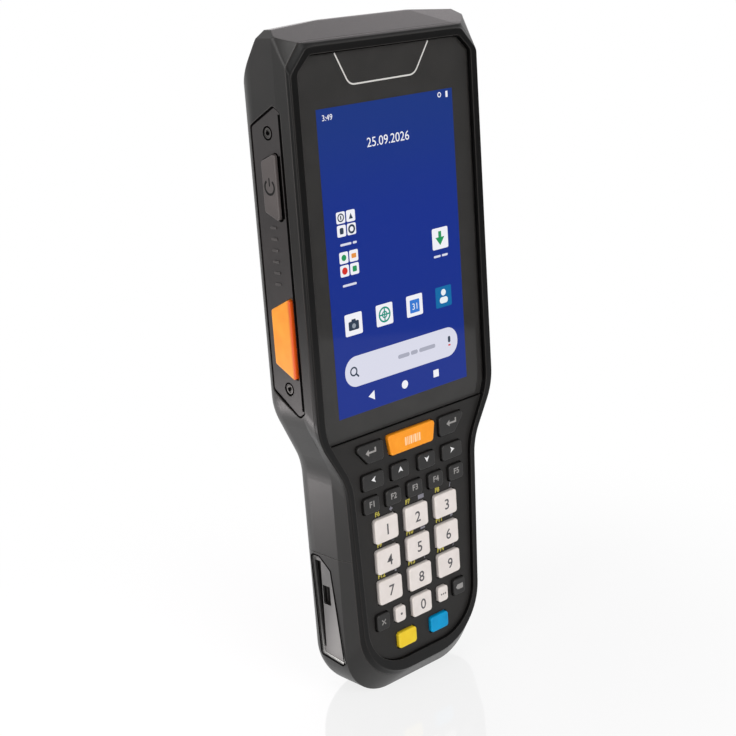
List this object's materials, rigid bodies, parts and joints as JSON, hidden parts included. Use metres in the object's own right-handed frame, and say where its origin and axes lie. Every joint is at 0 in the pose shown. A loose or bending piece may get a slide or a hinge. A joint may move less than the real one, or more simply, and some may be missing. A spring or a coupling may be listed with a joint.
{
  "type": "portable barcode data terminal",
  "caption": "Hand-held data terminal with a portrait display, a keypad on a narrower grip, side scan triggers, a scan window in its sloped head and a removable battery.",
  "frame": {"origin": "middle of the foot the device stands on, under the middle of the case", "axes": "+Z from the foot to the crown, +Y from the display to the back, +X to the right across the display"},
  "size_m": [0.0788, 0.0262, 0.2154],
  "materials": {
    "housing": "fine textured dark warm grey moulding",
    "seal_rubber": "smooth black rubber",
    "cover_glass": "polished cover glass with a dark border",
    "window_glass": "polished dark red window",
    "display": "lit display",
    "dark_module": "plain black",
    "keypad_plate": "satin dark grey",
    "key_white": "satin cream white",
    "key_black": "satin black",
    "key_scan_orange": "satin orange",
    "key_yellow": "satin yellow",
    "key_blue": "satin blue",
    "circuit_board": "green solder mask",
    "bright_metal": "bright spring steel",
    "screw_steel": "darkened steel",
    "frame_metal": "plain cast alloy",
    "side_plate": "matt black",
    "bay_metal": "polished frame round a grey panel",
    "trigger_orange": "satin orange",
    "side_button": "satin black",
    "battery_wrap": "plain dark wrap",
    "tray_plastic": "plain black moulding",
    "brass_parts": "plain brass"
  },
  "bodies": {
    "housing": {"battery_contacts": "brass_parts", "battery_tray": "tray_plastic", "camera_module": "dark_module", "case_screws": "screw_steel", "cover_glass": "cover_glass", "display_module": "display", "dock_connector": "dark_module", "dome_switches": "bright_metal", "foot_cap": "housing", "front_housing": "housing", "housing_seal": "seal_rubber", "inner_frame": "frame_metal", "keypad_board": "circuit_board", "keypad_mat": "seal_rubber", "keypad_plate": "keypad_plate", "left_bay_insert": "bay_metal", "left_side_plate": "side_plate", "main_board": "circuit_board", "rear_housing": "housing", "right_bay_insert": "bay_metal", "right_side_plate": "side_plate", "scan_engine": "dark_module", "scan_window": "window_glass", "side_switches": "dark_module", "speaker": "dark_module", "strap_inserts": "brass_parts"},
    "battery": {"battery_cover": "housing", "battery_pack": "battery_wrap"},
    "key_0": {"key_0": "key_white"},
    "key_1": {"key_1": "key_white"},
    "key_2": {"key_2": "key_white"},
    "key_3": {"key_3": "key_white"},
    "key_4": {"key_4": "key_white"},
    "key_5": {"key_5": "key_white"},
    "key_6": {"key_6": "key_white"},
    "key_7": {"key_7": "key_white"},
    "key_8": {"key_8": "key_white"},
    "key_9": {"key_9": "key_white"},
    "key_backspace": {"key_backspace": "key_black"},
    "key_blue": {"key_blue": "key_blue"},
    "key_down": {"key_down": "key_black"},
    "key_enter_left": {"key_enter_left": "key_black"},
    "key_enter_right": {"key_enter_right": "key_black"},
    "key_escape": {"key_escape": "key_black"},
    "key_f1": {"key_f1": "key_black"},
    "key_f2": {"key_f2": "key_black"},
    "key_f3": {"key_f3": "key_black"},
    "key_f4": {"key_f4": "key_black"},
    "key_f5": {"key_f5": "key_black"},
    "key_left": {"key_left": "key_black"},
    "key_right": {"key_right": "key_black"},
    "key_scan": {"key_scan": "key_scan_orange"},
    "key_small_left": {"key_small_left": "key_white"},
    "key_small_right": {"key_small_right": "key_white"},
    "key_up": {"key_up": "key_black"},
    "key_yellow": {"key_yellow": "key_yellow"},
    "power_button": {"power_button": "side_button"},
    "left_trigger": {"left_trigger": "trigger_orange"},
    "right_trigger": {"right_trigger": "trigger_orange"},
    "lock": {"battery_lock": "trigger_orange"}
  },
  "joints": [
    {"name": "battery_slide", "type": "slide", "parent": "housing", "child": "battery", "axis": [0, 1, 0], "range_m": [0, 0.016]},
    {"name": "lock_slide", "type": "slide", "parent": "housing", "child": "lock", "axis": [0, 0, -1], "range_m": [0, 0.003]},
    {"name": "power_press", "type": "slide", "parent": "housing", "child": "power_button", "axis": [1, 0, 0], "range_m": [0, 0.0005], "stiffness_N_per_m": 2000},
    {"name": "left_trigger_press", "type": "slide", "parent": "housing", "child": "left_trigger", "axis": [1, 0, 0], "range_m": [0, 0.0008], "stiffness_N_per_m": 1500},
    {"name": "right_trigger_press", "type": "slide", "parent": "housing", "child": "right_trigger", "axis": [-1, 0, 0], "range_m": [0, 0.0008], "stiffness_N_per_m": 1500},
    {"name": "key_0_press", "type": "slide", "parent": "housing", "child": "key_0", "axis": [0, 1, 0], "range_m": [0, 0.0006], "stiffness_N_per_m": 1000},
    {"name": "key_1_press", "type": "slide", "parent": "housing", "child": "key_1", "axis": [0, 1, 0], "range_m": [0, 0.0006], "stiffness_N_per_m": 1000},
    {"name": "key_2_press", "type": "slide", "parent": "housing", "child": "key_2", "axis": [0, 1, 0], "range_m": [0, 0.0006], "stiffness_N_per_m": 1000},
    {"name": "key_3_press", "type": "slide", "parent": "housing", "child": "key_3", "axis": [0, 1, 0], "range_m": [0, 0.0006], "stiffness_N_per_m": 1000},
    {"name": "key_4_press", "type": "slide", "parent": "housing", "child": "key_4", "axis": [0, 1, 0], "range_m": [0, 0.0006], "stiffness_N_per_m": 1000},
    {"name": "key_5_press", "type": "slide", "parent": "housing", "child": "key_5", "axis": [0, 1, 0], "range_m": [0, 0.0006], "stiffness_N_per_m": 1000},
    {"name": "key_6_press", "type": "slide", "parent": "housing", "child": "key_6", "axis": [0, 1, 0], "range_m": [0, 0.0006], "stiffness_N_per_m": 1000},
    {"name": "key_7_press", "type": "slide", "parent": "housing", "child": "key_7", "axis": [0, 1, 0], "range_m": [0, 0.0006], "stiffness_N_per_m": 1000},
    {"name": "key_8_press", "type": "slide", "parent": "housing", "child": "key_8", "axis": [0, 1, 0], "range_m": [0, 0.0006], "stiffness_N_per_m": 1000},
    {"name": "key_9_press", "type": "slide", "parent": "housing", "child": "key_9", "axis": [0, 1, 0], "range_m": [0, 0.0006], "stiffness_N_per_m": 1000},
    {"name": "key_backspace_press", "type": "slide", "parent": "housing", "child": "key_backspace", "axis": [0, 1, 0], "range_m": [0, 0.0006], "stiffness_N_per_m": 1000},
    {"name": "key_blue_press", "type": "slide", "parent": "housing", "child": "key_blue", "axis": [0, 1, 0], "range_m": [0, 0.0006], "stiffness_N_per_m": 1000},
    {"name": "key_down_press", "type": "slide", "parent": "housing", "child": "key_down", "axis": [0, 1, 0], "range_m": [0, 0.0006], "stiffness_N_per_m": 1000},
    {"name": "key_enter_left_press", "type": "slide", "parent": "housing", "child": "key_enter_left", "axis": [0, 1, 0], "range_m": [0, 0.0006], "stiffness_N_per_m": 1000},
    {"name": "key_enter_right_press", "type": "slide", "parent": "housing", "child": "key_enter_right", "axis": [0, 1, 0], "range_m": [0, 0.0006], "stiffness_N_per_m": 1000},
    {"name": "key_escape_press", "type": "slide", "parent": "housing", "child": "key_escape", "axis": [0, 1, 0], "range_m": [0, 0.0006], "stiffness_N_per_m": 1000},
    {"name": "key_f1_press", "type": "slide", "parent": "housing", "child": "key_f1", "axis": [0, 1, 0], "range_m": [0, 0.0006], "stiffness_N_per_m": 1000},
    {"name": "key_f2_press", "type": "slide", "parent": "housing", "child": "key_f2", "axis": [0, 1, 0], "range_m": [0, 0.0006], "stiffness_N_per_m": 1000},
    {"name": "key_f3_press", "type": "slide", "parent": "housing", "child": "key_f3", "axis": [0, 1, 0], "range_m": [0, 0.0006], "stiffness_N_per_m": 1000},
    {"name": "key_f4_press", "type": "slide", "parent": "housing", "child": "key_f4", "axis": [0, 1, 0], "range_m": [0, 0.0006], "stiffness_N_per_m": 1000},
    {"name": "key_f5_press", "type": "slide", "parent": "housing", "child": "key_f5", "axis": [0, 1, 0], "range_m": [0, 0.0006], "stiffness_N_per_m": 1000},
    {"name": "key_left_press", "type": "slide", "parent": "housing", "child": "key_left", "axis": [0, 1, 0], "range_m": [0, 0.0006], "stiffness_N_per_m": 1000},
    {"name": "key_right_press", "type": "slide", "parent": "housing", "child": "key_right", "axis": [0, 1, 0], "range_m": [0, 0.0006], "stiffness_N_per_m": 1000},
    {"name": "key_scan_press", "type": "slide", "parent": "housing", "child": "key_scan", "axis": [0, 1, 0], "range_m": [0, 0.0006], "stiffness_N_per_m": 1000},
    {"name": "key_small_left_press", "type": "slide", "parent": "housing", "child": "key_small_left", "axis": [0, 1, 0], "range_m": [0, 0.0006], "stiffness_N_per_m": 1000},
    {"name": "key_small_right_press", "type": "slide", "parent": "housing", "child": "key_small_right", "axis": [0, 1, 0], "range_m": [0, 0.0006], "stiffness_N_per_m": 1000},
    {"name": "key_up_press", "type": "slide", "parent": "housing", "child": "key_up", "axis": [0, 1, 0], "range_m": [0, 0.0006], "stiffness_N_per_m": 1000},
    {"name": "key_yellow_press", "type": "slide", "parent": "housing", "child": "key_yellow", "axis": [0, 1, 0], "range_m": [0, 0.0006], "stiffness_N_per_m": 1000}
  ]
}
